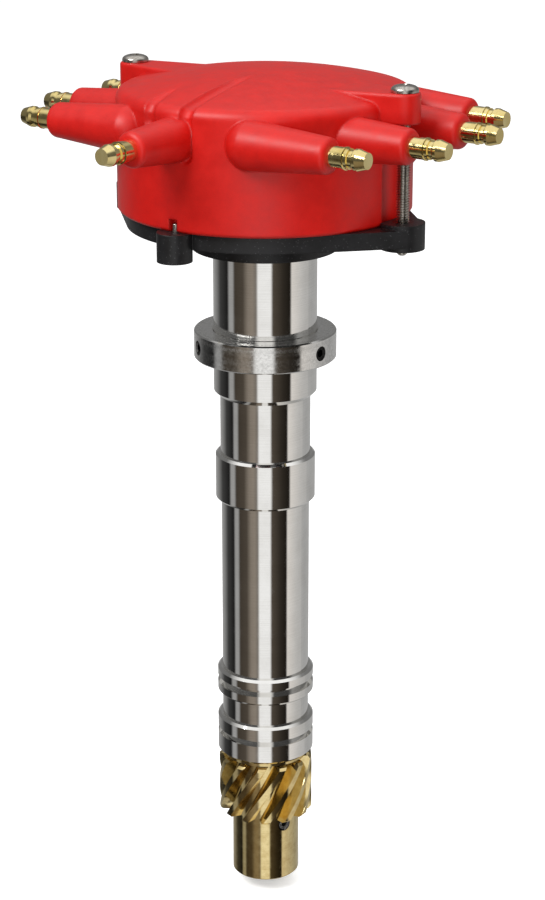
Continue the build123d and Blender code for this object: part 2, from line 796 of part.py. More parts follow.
def distributor_cap(inserts):
    """The red cap: domed shell, nine towers, two ears, and its cavity and bores."""
    shell = revolve(cap_shell_outline(), Axis.Z)
    shell -= ridge_groove(right_groove_offset, right_groove_start, right_groove_foot)
    shell -= ridge_groove(left_groove_offset, left_groove_start, left_groove_foot)
    for t in plug_towers:
        shell += laid(tower(t["reach"], t["root"]), 0, t["y"], z_tower, t["heading"])
    shell += laid(tower(coil_tower_reach, cap_radius - inner_root_depth), 0, 0, z_tower, coil_heading)
    for side in (1, -1):
        x = side * cap_ear_offset
        shell += ear_bar(side)
        shell -= disc(flute_radius, z_rim - 1, z_ear_bottom, x, 0)
        shell -= disc(cap_screw_hole, z_ear_bottom - 1, z_ear_top + 5, x, 0)
    cavity = disc(cap_bore_radius, z_rim - 1, z_ceiling)
    cavity = fillet(cavity.edges().filter_by(GeomType.CIRCLE).sort_by(Axis.Z)[-1], ceiling_fillet)
    turret = disc(brush_turret_radius, z_ceiling - brush_turret_drop, z_ceiling + 1)
    shell -= cavity - turret
    shell -= disc(brush_radius + running_clearance, z_ceiling - brush_turret_drop - 1, z_tower - cup_half)
    notch = Pos(cap_radius, 0, z_rim + notch_height / 2) * Box(2 * notch_depth, notch_width, notch_height)
    shell -= Rot(0, 0, coil_heading) * notch
    for insert in inserts:
        shell -= insert
    return shell


# ---------------- shaft, rotor and gear ----------------

def main_shaft():
    """The steel shaft, from the rotor hub to the oil pump slot."""
    part = disc(shaft_radius, z_bottom, z_shaft_top)
    part = chamfer(part.edges().filter_by(GeomType.CIRCLE), 0.5)
    part -= Pos(0, 0, z_bottom) * Box(4 * shaft_radius, pump_slot_width, 2 * pump_slot_depth)
    part -= gear_pin_bore()
    return part


def gear_pin_bore():
    """The cross bore for the gear's pin."""
    bore = Pos(0, 0, 0) * Cylinder(gear_pin_radius, 4 * gear_hub_radius)
    return laid(bore, 0, 0, z_teeth_end - gear_pin_drop, gear_pin_angle)


def gear_profile():
    """Cross-section of the toothed part: trapezoid teeth with arced tips and roots."""
    step = 360 / tooth_count
    with BuildSketch() as profile:
        with BuildLine():
            for k in range(tooth_count):
                middle = k * step
                tip = step * tooth_tip_share / 2
                root = step * tooth_root_share / 2
                p1 = polar(gear_root_radius, middle - root)
                p2 = polar(gear_tip_radius, middle - tip)
                p3 = polar(gear_tip_radius, middle + tip)
                p4 = polar(gear_root_radius, middle + root)
                p5 = polar(gear_root_radius, middle + step - root)
                Line(p1, p2)
                ThreePointArc(p2, polar(gear_tip_radius, middle), p3)
                Line(p3, p4)
                ThreePointArc(p4, polar(gear_root_radius, middle + step / 2), p5)
        make_face()
    return profile.sketch


def drive_gear():
    """The helical drive gear with its hub, pinned to the shaft."""
    twist = 360 * gear_face_width / gear_lead
    section = Pos(0, 0, z_teeth_end) * gear_profile()
    teeth = Solid.extrude_linear_with_rotation(
        section.face(), (0, 0, z_teeth_end), (0, 0, gear_face_width), twist)
    inner = gear_tip_radius - gear_end_chamfer
    blank = turned(
        (0, z_teeth_end),
        (inner, z_teeth_end),
        (gear_tip_radius + 0.01, z_teeth_end + gear_end_chamfer),
        (gear_tip_radius + 0.01, z_gear_top - gear_end_chamfer),
        (inner, z_gear_top),
        (0, z_gear_top),
    )
    part = teeth & blank
    hub = disc(gear_hub_radius, z_bottom, z_teeth_end + 1)
    hub = chamfer(hub.edges().filter_by(GeomType.CIRCLE).sort_by(Axis.Z)[0], 0.6)
    part += hub
    part -= disc(shaft_radius, z_bottom - 1, z_gear_top + 1)
    part -= gear_pin_bore()
    return part


def gear_roll_pin():
    """The coiled spring pin that fixes the gear to the shaft."""
    pin = Cylinder(gear_pin_radius, 2 * gear_hub_radius - 0.4)
    pin -= Cylinder(gear_pin_radius * 0.45, 4 * gear_hub_radius)
    pin -= Pos(gear_pin_radius, 0, 0) * Box(2 * gear_pin_radius, 0.5, 4 * gear_hub_radius)
    return laid(pin, 0, 0, z_teeth_end - gear_pin_drop, gear_pin_angle)


def rotor_hub():
    """The aluminium hub that carries the rotor on the shaft."""
    part = disc(hub_boss_radius, z_bearing_top, z_hub_plate + 1)
    plate = disc(hub_plate_radius, z_hub_plate, z_rotor)
    part += chamfer(plate.edges().filter_by(GeomType.CIRCLE), 0.5)
    part -= disc(shaft_radius, z_bearing_top - 1, z_rotor + 1)
    for side in (1, -1):
        y = side * rotor_screw_circle
        part -= disc(rotor_screw_radius, z_rotor - rotor_screw_grip, z_rotor + 1, 0, y)
    return part


def rotor_body():
    """The moulded rotor: flange, hollow pedestal and the arm under the blade."""
    z_arm = z_rotor_top - rotor_arm_thickness
    part = disc(hub_plate_radius, z_rotor, z_rotor + rotor_flange_thickness)
    part = chamfer(part.edges().filter_by(GeomType.CIRCLE).sort_by(Axis.Z)[-1], 0.8)
    part += turned(
        (0, z_rotor + 1),
        (rotor_pedestal_radius + rotor_pedestal_flare, z_rotor + 1),
        (rotor_pedestal_radius + rotor_pedestal_flare, z_rotor + rotor_flange_thickness),
        (rotor_pedestal_radius, z_rotor_top),
        (0, z_rotor_top),
    )
    arm = Pos(rotor_arm_reach / 2, 0, (z_arm + z_rotor_top) / 2)
    part += arm * Box(rotor_arm_reach, rotor_arm_width, rotor_arm_thickness)
    part -= disc(rotor_pedestal_radius - rotor_wall, z_rotor - 1, z_rotor_top - rotor_wall)
    for side in (1, -1):
        y = side * rotor_screw_circle
        part -= disc(rotor_screw_radius, z_rotor - 1, z_rotor_top + 1, 0, y)
        seat = z_rotor + rotor_flange_thickness - rotor_screw_sink
        part -= disc(rotor_screw_head_radius + pocket_clearance, seat, z_rotor_top + 1, 0, y)
    return part


def rotor_blade():
    """The brass blade that carries the spark from the brush to the electrodes."""
    with BuildSketch() as outline:
        Circle(blade_pad_radius)
        with Locations((blade_reach / 2, 0)):
            Rectangle(blade_reach, blade_width)
        with Locations((blade_reach, 0)):
            Rectangle(2 * blade_tip_length, blade_tip_width)
    strip = Pos(0, 0, z_rotor_top) * extrude(outline.sketch, blade_thickness)
    return strip & disc(blade_reach, z_rotor_top - 1, z_blade_top + 1)


def rotor_screws():
    """Two screws that hold the rotor to its hub."""
    seat = z_rotor + rotor_flange_thickness - rotor_screw_sink
    length = seat - z_rotor + rotor_screw_grip
    screws = []
    for side in (1, -1):
        screw = pan_screw(rotor_screw_radius, rotor_screw_head_radius, rotor_screw_head_height, length)
        screws.append(Pos(0, side * rotor_screw_circle, seat) * screw)
    return Compound(children=screws)


# ---------------- assemble and write ----------------

terminals = plug_terminals()
electrodes = plug_electrodes()
coil_post = coil_terminal()
coil_link = coil_conductor()
races = bearing_races()
balls, cage = bearing_set()
inserts = [*terminals.children, *electrodes.children, coil_post, coil_link]

pieces = {
    "housing": housing(),
    "lower_bushing": lower_bushing(),
    "bearing_outer_race": races[0],
    "bearing_inner_race": races[1],
    "bearing_balls": balls,
    "bearing_cage": cage,
    "bearing_shields": bearing_shields(),
    "bearing_clip": bearing_clip(),
    "slip_collar": slip_collar(),
    "collar_set_screws": collar_set_screws(),
    "cap_base": cap_base(),
    "ear_inserts": ear_inserts(),
    "locating_pin": locating_pin(),
    "base_screws": base_screws(),
    "cap_screws": cap_screws(),
    "distributor_cap": distributor_cap(inserts),
    "plug_terminals": terminals,
    "plug_electrodes": electrodes,
    "coil_terminal": coil_post,
    "coil_conductor": coil_link,
    "carbon_brush": carbon_brush(),
    "brush_spring": brush_spring(),
    "main_shaft": main_shaft(),
    "rotor_hub": rotor_hub(),
    "rotor_body": rotor_body(),
    "rotor_blade": rotor_blade(),
    "rotor_screws": rotor_screws(),
    "thrust_washer": ring(
        thrust_washer_radius, shaft_radius + running_clearance, z_washer_end, z_housing_end
    ),
    "thrust_shim": ring(shim_radius, shaft_radius + running_clearance, z_shim_end, z_washer_end),
    "drive_gear": drive_gear(),
    "gear_roll_pin": gear_roll_pin(),
}

os.makedirs("parts", exist_ok=True)
for name, piece in pieces.items():
    export_step(piece, f"parts/{name}.step")
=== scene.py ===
"""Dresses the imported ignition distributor: studio, finishes and the fine turned and moulded pieces."""

import json
import logging
import math
from abc import ABC, abstractmethod
from dataclasses import dataclass
from enum import Enum
from typing import Optional, Sequence

import bmesh
import bpy
from mathutils import Matrix, Vector

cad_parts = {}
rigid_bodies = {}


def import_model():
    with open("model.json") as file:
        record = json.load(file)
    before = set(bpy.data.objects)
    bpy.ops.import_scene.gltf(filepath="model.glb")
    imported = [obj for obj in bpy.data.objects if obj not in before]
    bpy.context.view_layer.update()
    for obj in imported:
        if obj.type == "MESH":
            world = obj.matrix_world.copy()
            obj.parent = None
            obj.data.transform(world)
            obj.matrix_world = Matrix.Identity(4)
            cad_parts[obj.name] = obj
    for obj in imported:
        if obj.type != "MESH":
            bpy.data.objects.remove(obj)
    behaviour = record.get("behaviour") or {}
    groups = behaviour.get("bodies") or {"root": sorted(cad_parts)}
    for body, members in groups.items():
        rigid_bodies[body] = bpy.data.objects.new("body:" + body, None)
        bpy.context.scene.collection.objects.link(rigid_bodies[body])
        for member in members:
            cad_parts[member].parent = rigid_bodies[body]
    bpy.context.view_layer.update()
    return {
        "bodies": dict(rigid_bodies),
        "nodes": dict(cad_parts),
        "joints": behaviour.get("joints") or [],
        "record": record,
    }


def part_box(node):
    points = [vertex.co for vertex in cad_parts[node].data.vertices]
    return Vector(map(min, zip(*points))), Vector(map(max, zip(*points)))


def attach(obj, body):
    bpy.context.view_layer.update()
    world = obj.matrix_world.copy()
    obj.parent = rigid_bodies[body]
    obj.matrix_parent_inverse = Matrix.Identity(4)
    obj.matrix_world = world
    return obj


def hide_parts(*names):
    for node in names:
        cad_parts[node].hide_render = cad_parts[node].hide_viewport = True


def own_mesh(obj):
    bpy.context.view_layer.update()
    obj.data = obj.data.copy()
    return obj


LOG = logging.getLogger("distributor")
MM = 0.001
# Most of a noise's factor lies between these two.
NOISE_RANGE = (0.3, 0.7)
SHARP_ANGLE_DEG = 35
WELD_MM = 0.0005
# How much of its red, green and blue a fully warm strip of the surroundings lacks.
WARM_LOSS = (0.0, 0.18, 0.36)


class Grain(Enum):
    """Which way a tool left its lines on a surface."""

    TURNED = "turned about the shaft"
    ALONG_X = "turned about X"
    ALONG_Y = "turned about Y"


def linear(code: str) -> tuple[float, float, float, float]:
    """Turn an sRGB hex colour to linear RGBA.

    Args:
        code: Six hex digits, such as "c8161a".

    Returns:
        Linear red, green and blue, and an alpha of 1.
    """
    channels = [int(code[i:i + 2], 16) / 255 for i in (0, 2, 4)]
    lit = [c / 12.92 if c <= 0.04045 else ((c + 0.055) / 1.055) ** 2.4 for c in channels]
    return lit[0], lit[1], lit[2], 1.0


def add_node(tree: bpy.types.NodeTree, kind: str, links: Optional[dict] = None,
             **settings: object) -> bpy.types.Node:
    """Add one shader node with its settings and links.

    Args:
        tree: The node tree that gets the node.
        kind: The node's type, without its ShaderNode prefix.
        links: Input name or number to an output socket or a value.
        settings: Attributes of the node itself.

    Returns:
        The new node.
    """
    made = tree.nodes.new("ShaderNode" + kind)
    for name, value in settings.items():
        setattr(made, name, value)
    for name, value in (links or {}).items():
        socket = made.inputs[name]
        if isinstance(value, bpy.types.NodeSocket):
            tree.links.new(value, socket)
        else:
            socket.default_value = value
    return made


def shade_ramp(tree: bpy.types.NodeTree, factor: bpy.types.NodeSocket,
               stops: Sequence[tuple[float, tuple]]) -> bpy.types.NodeSocket:
    """Map a factor to colours through a ramp.

    Args:
        tree: The node tree that gets the ramp.
        factor: The socket that drives it.
        stops: Position and linear colour of each stop, in order.

    Returns:
        The ramp's colour socket.
    """
    ramp = add_node(tree, "ValToRGB", {"Fac": factor})
    bar = ramp.color_ramp.elements
    bar[0].position, bar[0].color = stops[0]
    bar[1].position, bar[1].color = stops[-1]
    for position, colour in stops[1:-1]:
        bar.new(position).color = colour
    return ramp.outputs["Color"]


def calc(tree: bpy.types.NodeTree, operation: str, *values: object) -> bpy.types.NodeSocket:
    """Work out one sum from sockets or numbers.

    Args:
        tree: The node tree that gets the node.
        operation: The Math node's operation.
        values: Its inputs, in order.

    Returns:
        The result's socket.
    """
    return add_node(tree, "Math", dict(enumerate(values)), operation=operation).outputs[0]


def weigh(tree: bpy.types.NodeTree, first: bpy.types.NodeSocket, second: bpy.types.NodeSocket,
          share: float) -> bpy.types.NodeSocket:
    """Add two factors, the first by its share and the second by the rest.

    Args:
        tree: The node tree that gets the nodes.
        first: The first factor.
        second: The second factor.
        share: The first factor's share, from 0 to 1.

    Returns:
        The sum's socket.
    """
    scaled = calc(tree, "MULTIPLY", first, share), calc(tree, "MULTIPLY", second, 1 - share)
    return calc(tree, "ADD", *scaled)


@dataclass(frozen=True)
class Finish(ABC):
    """What every surface has: a name, a colour and how rough it is."""

    name: str
    colour: str
    roughness: float

    def start(self) -> tuple[bpy.types.Material, bpy.types.NodeTree, bpy.types.Node,
                             bpy.types.NodeSocket]:
        """Make the material with an empty shader and its place in millimetres.

        Returns:
            The material, its tree, the Principled shader, and object coordinates in mm.
        """
        material = bpy.data.materials.new(self.name)
        material.use_nodes = True
        tree = material.node_tree
        tree.nodes.clear()
        shader = add_node(tree, "BsdfPrincipled")
        add_node(tree, "OutputMaterial", {"Surface": shader.outputs[0]})
        place = add_node(tree, "TexCoord").outputs["Object"]
        scaled = add_node(tree, "VectorMath", {0: place, 1: (1 / MM,) * 3}, operation="MULTIPLY")
        return material, tree, shader, scaled.outputs[0]

    @abstractmethod
    def build(self) -> bpy.types.Material:
        """Build the surface's shader."""


@dataclass(frozen=True)
class MouldedPlastic(Finish):
    """Glass-filled polyester or nylon from a satin mould: soft gloss, fine pebble, faint mottle."""

    deep: str
    edge_mm: float = 1.2
    edge_samples: int = 6
    # The mould's real grain is under 0.1 mm, too fine to show, so it is drawn coarser.
    pebble_mm: float = 0.35
    pebble_height_mm: float = 0.006
    pebble_strength: float = 0.55
    mottle_mm: float = 5.0
    mottle_share: float = 0.7
    mottle_stops: tuple[float, float] = (0.32, 0.62)
    gloss_drop: float = 0.05
    gloss_rise: float = 0.07
    ior: float = 1.52
    speck: Optional[str] = None
    speck_share: float = 0.0
    speck_strength: float = 0.5
    speck_pebbles: float = 2.2

    def build(self) -> bpy.types.Material:
        """Build the plastic's shader.

        Returns:
            The material.
        """
        material, tree, shader, place = self.start()
        mottle = add_node(tree, "TexNoise", {"Vector": place, "Scale": 1 / self.mottle_mm,
                                             "Detail": 5.0, "Roughness": 0.62}).outputs["Fac"]
        fine = add_node(tree, "TexNoise", {"Vector": place, "Scale": 1 / self.pebble_mm,
                                           "Detail": 3.0}).outputs["Fac"]
        blend = weigh(tree, mottle, fine, self.mottle_share)
        dark, light = self.mottle_stops
        body = shade_ramp(tree, blend, [(dark, linear(self.deep)), (light, linear(self.colour))])
        if self.speck:
            spacing = self.speck_pebbles * self.pebble_mm
            dots = add_node(tree, "TexVoronoi", {"Vector": place, "Scale": 1 / spacing})
            inside = calc(tree, "LESS_THAN", dots.outputs["Distance"], self.speck_share)
            shown = calc(tree, "MULTIPLY", inside, self.speck_strength)
            body = add_node(tree, "MixRGB", {"Fac": shown, "Color1": body,
                                             "Color2": linear(self.speck)}).outputs[0]
        tree.links.new(body, shader.inputs["Base Color"])
        rough = add_node(tree, "MapRange", {"Value": mottle, "From Min": NOISE_RANGE[0],
                                            "From Max": NOISE_RANGE[1],
                                            "To Min": self.roughness - self.gloss_drop,
                                            "To Max": self.roughness + self.gloss_rise})
        tree.links.new(rough.outputs[0], shader.inputs["Roughness"])
        shader.inputs["IOR"].default_value = self.ior
        eased = add_node(tree, "Bevel", {"Radius": self.edge_mm * MM}, samples=self.edge_samples)
        bump = add_node(tree, "Bump", {"Height": fine, "Strength": self.pebble_strength,
                                       "Distance": self.pebble_height_mm * MM,
                                       "Normal": eased.outputs[0]})
        tree.links.new(bump.outputs[0], shader.inputs["Normal"])
        return material


@dataclass(frozen=True)
class MachinedMetal(Finish):
    """Metal off a lathe: fine tool lines across its axis, with a little stain and handling wear."""

    shadow: str
    grain: Grain = Grain.TURNED
    # Real tool lines are about 0.05 mm apart, too fine to show, so they are drawn coarser.
    line_mm: float = 0.12
    line_depth_mm: float = 0.0012
    line_strength: float = 0.6
    band_lines: float = 14.0
    spread: float = 0.08
    smoothest: float = 0.02
    stain_mm: float = 9.0
    stain_share: float = 0.65
    stain_stops: tuple[float, float] = (0.28, 0.60)
    band_share: float = 0.5
    anisotropy: float = 0.0
    anisotropy_turn: float = 0.25

    def tool_path(self, tree: bpy.types.NodeTree, place: bpy.types.NodeSocket) -> bpy.types.NodeSocket:
        """Give the distance along which the tool lines repeat.

        Args:
            tree: The material's node tree.
            place: Object coordinates in millimetres.

        Returns:
            The distance in millimetres: along the part's axis, plus out from it on end faces.
        """
        axes = add_node(tree, "SeparateXYZ", {0: place}).outputs
        if self.grain is Grain.ALONG_X:
            return axes["X"]
        if self.grain is Grain.ALONG_Y:
            return axes["Y"]
        squares = [calc(tree, "POWER", axes[name], 2.0) for name in "XY"]
        return calc(tree, "ADD", axes["Z"], calc(tree, "SQRT", calc(tree, "ADD", *squares)))

    @staticmethod
    def noise_along(tree: bpy.types.NodeTree, along: bpy.types.NodeSocket, size_mm: float,
                    detail: float) -> bpy.types.NodeSocket:
        """Make a noise that changes along the tool path alone.

        Args:
            tree: The material's node tree.
            along: The distance along the tool path.
            size_mm: The noise's spacing.
            detail: How many finer noises it has.

        Returns:
            The noise's factor.
        """
        reach = calc(tree, "DIVIDE", along, size_mm)
        noise = add_node(tree, "TexNoise", {"W": reach, "Scale": 1.0, "Detail": detail},
                         noise_dimensions="1D")
        return noise.outputs["Fac"]

    def build(self) -> bpy.types.Material:
        """Build the metal's shader.

        Returns:
            The material.
        """
        material, tree, shader, place = self.start()
        along = self.tool_path(tree, place)
        lines = self.noise_along(tree, along, self.line_mm, 2.0)
        bands = self.noise_along(tree, along, self.band_lines * self.line_mm, 1.0)
        stain = add_node(tree, "TexNoise", {"Vector": place, "Scale": 1 / self.stain_mm,
                                            "Detail": 6.0, "Roughness": 0.6}).outputs["Fac"]
        tone = weigh(tree, stain, lines, self.stain_share)
        dark, light = self.stain_stops
        body = shade_ramp(tree, tone, [(dark, linear(self.shadow)), (light, linear(self.colour))])
        tree.links.new(body, shader.inputs["Base Color"])
        shader.inputs["Metallic"].default_value = 1.0
        wear = weigh(tree, bands, stain, self.band_share)
        lowest = max(self.smoothest, self.roughness - self.spread / 2)
        rough = add_node(tree, "MapRange", {"Value": wear, "From Min": NOISE_RANGE[0],
                                            "From Max": NOISE_RANGE[1], "To Min": lowest,
                                            "To Max": self.roughness + self.spread})
        tree.links.new(rough.outputs[0], shader.inputs["Roughness"])
        bump = add_node(tree, "Bump", {"Height": lines, "Strength": self.line_strength,
                                       "Distance": self.line_depth_mm * MM})
        tree.links.new(bump.outputs[0], shader.inputs["Normal"])
        if self.anisotropy > 0:
            shader.inputs["Anisotropic"].default_value = self.anisotropy
            shader.inputs["Anisotropic Rotation"].default_value = self.anisotropy_turn
            turn = add_node(tree, "Tangent", direction_type="RADIAL", axis="Z")
            tree.links.new(turn.outputs[0], shader.inputs["Tangent"])
        return material


@dataclass(frozen=True)
class CoatedSteel(Finish):
    """Steel with black oxide or oil, or pressed carbon: dark, with a rubbed and slightly dusty skin."""

    rubbed: str
    metallic: float = 0.9
    rub_mm: float = 0.625
    rub_stops: tuple[float, float] = (0.45, 0.75)
    rub_height_mm: float = 0.01
    rub_strength: float = 0.3
    gloss_spread: float = 0.1

    def build(self) -> bpy.types.Material:
        """Build the coated surface's shader.

        Returns:
            The material.
        """
        material, tree, shader, place = self.start()
        rub = add_node(tree, "TexNoise", {"Vector": place, "Scale": 1 / self.rub_mm, "Detail": 7.0,
                                          "Roughness": 0.7}).outputs["Fac"]
        dark, light = self.rub_stops
        body = shade_ramp(tree, rub, [(dark, linear(self.colour)), (light, linear(self.rubbed))])
        tree.links.new(body, shader.inputs["Base Color"])
        shader.inputs["Metallic"].default_value = self.metallic
        rough = add_node(tree, "MapRange", {"Value": rub, "To Min": self.roughness + self.gloss_spread,
                                            "To Max": self.roughness - self.gloss_spread})
        tree.links.new(rough.outputs[0], shader.inputs["Roughness"])
        bump = add_node(tree, "Bump", {"Height": rub, "Strength": self.rub_strength,
                                       "Distance": self.rub_height_mm * MM})
        tree.links.new(bump.outputs[0], shader.inputs["Normal"])
        return material


@dataclass(frozen=True)
class FinishBook:
    """Every finish on the distributor."""

    # Polybutylene terephthalate cap, satin mould: bright warm red, soft highlights.
    red_polyester: MouldedPlastic = MouldedPlastic("red_pbt_polyester_moulded", "cf130a", 0.42, "be0f0a")
    # Glass-filled nylon base: near black, with pale glass specks in its skin.
    black_nylon: MouldedPlastic = MouldedPlastic(
        "black_glass_nylon_moulded", "1b1b1d", 0.46, "0d0d0e", edge_mm=0.5, pebble_mm=0.45,
        pebble_height_mm=0.02, speck="5a5a5c", speck_share=0.16)
    # Glass-filled nylon rotor: plain near black, a little glossier than the base.
    rotor_nylon: MouldedPlastic = MouldedPlastic("black_rotor_nylon_moulded", "161618", 0.42, "0b0b0c")
    # 6061 aluminium billet, turned and polished: mirror bright with faint rings.
    polished_aluminium: MachinedMetal = MachinedMetal(
        "polished_6061_aluminium", "f4f3f0", 0.055, "e2e0dc", line_mm=0.3, line_depth_mm=0.0004,
        spread=0.05)
    # The same billet, turned and tumbled: satin and speckled, with rings that the eye can follow.
    turned_aluminium: MachinedMetal = MachinedMetal(
        "turned_satin_aluminium", "f4f3f0", 0.15, "c2c1be", line_mm=0.16, line_depth_mm=0.003,
        spread=0.14, stain_mm=0.9, anisotropy=0.7)
    # Aluminium bronze, hobbed: warm brown gold with cutter lines.
    gear_bronze: MachinedMetal = MachinedMetal(
        "hobbed_aluminium_bronze", "efdba2", 0.09, "cdb277", line_mm=0.22, line_depth_mm=0.002,
        spread=0.10, stain_mm=2.5, anisotropy=0.5)
    # Free-cutting brass posts, turned bright: pale yellow with sharp glints, lines round each post.
    brass_along_x: MachinedMetal = MachinedMetal(
        "turned_brass_along_x", "f6e3a4", 0.12, "d9bf6e", Grain.ALONG_X, line_mm=0.14,
        line_depth_mm=0.002)
    brass_along_y: MachinedMetal = MachinedMetal(
        "turned_brass_along_y", "f6e3a4", 0.12, "d9bf6e", Grain.ALONG_Y, line_mm=0.14,
        line_depth_mm=0.002)
    # Brass stamped and turned for the inside: duller and deeper yellow.
    brass_upright: MachinedMetal = MachinedMetal("turned_brass_upright", "ecd083", 0.2, "bf9a49")
    # Cold-headed stainless screws: grey with a soft shine.
    stainless: MachinedMetal = MachinedMetal(
        "cold_headed_stainless_steel", "cfcac2", 0.24, "96918a", line_mm=0.5)
    # Ground steel of the shaft and the bearing: cool and smooth.
    ground_steel: MachinedMetal = MachinedMetal("ground_bearing_steel", "c2c2c4", 0.16, "9a9a9c")
    # Black oxide on the set screws: dull black, rubbed grey in spots.
    black_oxide: CoatedSteel = CoatedSteel("black_oxide_steel", "141414", 0.38, "3c3a38")
    # Oiled spring steel of the coiled pin: dark grey with bright rubbed spots.
    spring_steel: CoatedSteel = CoatedSteel("oiled_spring_steel", "4a4a4a", 0.22, "b5b2ad")
    # Pressed carbon of the brush: dull dark grey.
    carbon: CoatedSteel = CoatedSteel("pressed_carbon", "1c1c1c", 0.6, "3a3a3a", metallic=0.1)


class Workshop:
    """Hands out each finish once, and puts it on CAD nodes and new pieces."""

    def __init__(self, frame: dict) -> None:
        """Keep the frame's nodes and an empty shelf of built materials.
        """
        self.nodes: dict = frame["nodes"]
        self.book = FinishBook()
        self.shelf: dict[str, bpy.types.Material] = {}

    def material(self, finish: Finish) -> bpy.types.Material:
        """Give a finish's material, built once.

        Args:
            finish: The finish.

        Returns:
            Its material.
        """
        if finish.name not in self.shelf:
            self.shelf[finish.name] = finish.build()
        return self.shelf[finish.name]

    def dress(self, finish: Finish, *names: str) -> None:
        """Put a finish on CAD nodes.

        Args:
            finish: The finish.
            names: The nodes that get it.
        """
        for name in names:
            slots = self.nodes[name].data.materials
            slots.clear()
            slots.append(self.material(finish))
            LOG.info("%s gets %s", name, finish.name)

    def piece(self, name: str, mesh: bmesh.types.BMesh, body: str, finish: Finish,
              replaced: Sequence[str]) -> bpy.types.Object:
        """Turn a bmesh in millimetres into a piece that rides on a body.

        Args:
            name: The piece's name.
            mesh: Its shape, in millimetres; it is freed here.
            body: The body that it rides on.
            finish: Its finish.
            replaced: The CAD nodes that it stands for.

        Returns:
            The new object.
        """
        bmesh.ops.transform(mesh, matrix=Matrix.Scale(MM, 4), verts=mesh.verts)
        data = bpy.data.meshes.new(name)
        mesh.to_mesh(data)
        mesh.free()
        data.materials.append(self.material(finish))
        data.shade_smooth()
        data.set_sharp_from_angle(angle=math.radians(SHARP_ANGLE_DEG))
        made = bpy.data.objects.new(name, data)
        bpy.context.scene.collection.objects.link(made)
        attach(made, body)
        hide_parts(*replaced)
        LOG.info("%s has %d faces", name, len(data.polygons))
        return made


@dataclass(frozen=True)
class SoftBox:
    """One soft box that faces the object; its bearing is to the right of the camera."""

    name: str
    bearing_deg: float
    height_deg: float
    reach_mm: float
    size_mm: tuple[float, float]
    watts: float
    glossy: bool = False


@dataclass(frozen=True)
class Strip:
    """How bright the surroundings are at one bearing from the camera, and how warm."""

    bearing_deg: float
    level: float
    warmth: float = 0.0

    def stop(self) -> tuple[float, tuple]:
        """Give the strip's place and colour on a ramp that goes once round the object."""
        red, green, blue = (self.level * (1 - loss * self.warmth) for loss in WARM_LOSS)
        return 0.5 + self.bearing_deg / 360, (red, green, blue, 1)


# Strip boxes and dark gaps round the object, from straight behind it, to its left, front and right.
LOW_STRIPS = (
    Strip(-180, 0.50), Strip(-150, 0.30), Strip(-134, 0.20), Strip(-118, 0.05), Strip(-92, 0.012),
    Strip(-86, 0.34), Strip(-77, 0.34), Strip(-71, 0.055, 1), Strip(-50, 0.075, 1),
    Strip(-38, 0.24, 0.8), Strip(-28, 0.27, 0.8), Strip(-20, 0.20, 0.6), Strip(-15, 0.92),
    Strip(12, 0.92), Strip(17, 0.08, 1), Strip(40, 0.03, 1), Strip(57, 0.012, 1),
    Strip(61, 0.74, 0.25), Strip(90, 0.54, 0.1), Strip(125, 0.38), Strip(160, 0.40), Strip(180, 0.50))
HIGH_STRIPS = (
    Strip(-180, 0.22), Strip(-110, 0.16), Strip(-70, 0.10), Strip(-24, 0.10), Strip(-14, 0.90),
    Strip(14, 0.90), Strip(24, 0.06), Strip(66, 0.05), Strip(80, 0.34), Strip(125, 0.18),
    Strip(180, 0.22))
SOFT_BOXES = (
    SoftBox("key_box", -50, 42, 1400, (700, 500), 12, glossy=True),
    SoftBox("fill_box", 55, 30, 1500, (600, 900), 5),
    SoftBox("low_box", -8, 6, 1500, (900, 600), 6),
    SoftBox("back_box", 165, 45, 1400, (800, 500), 2))


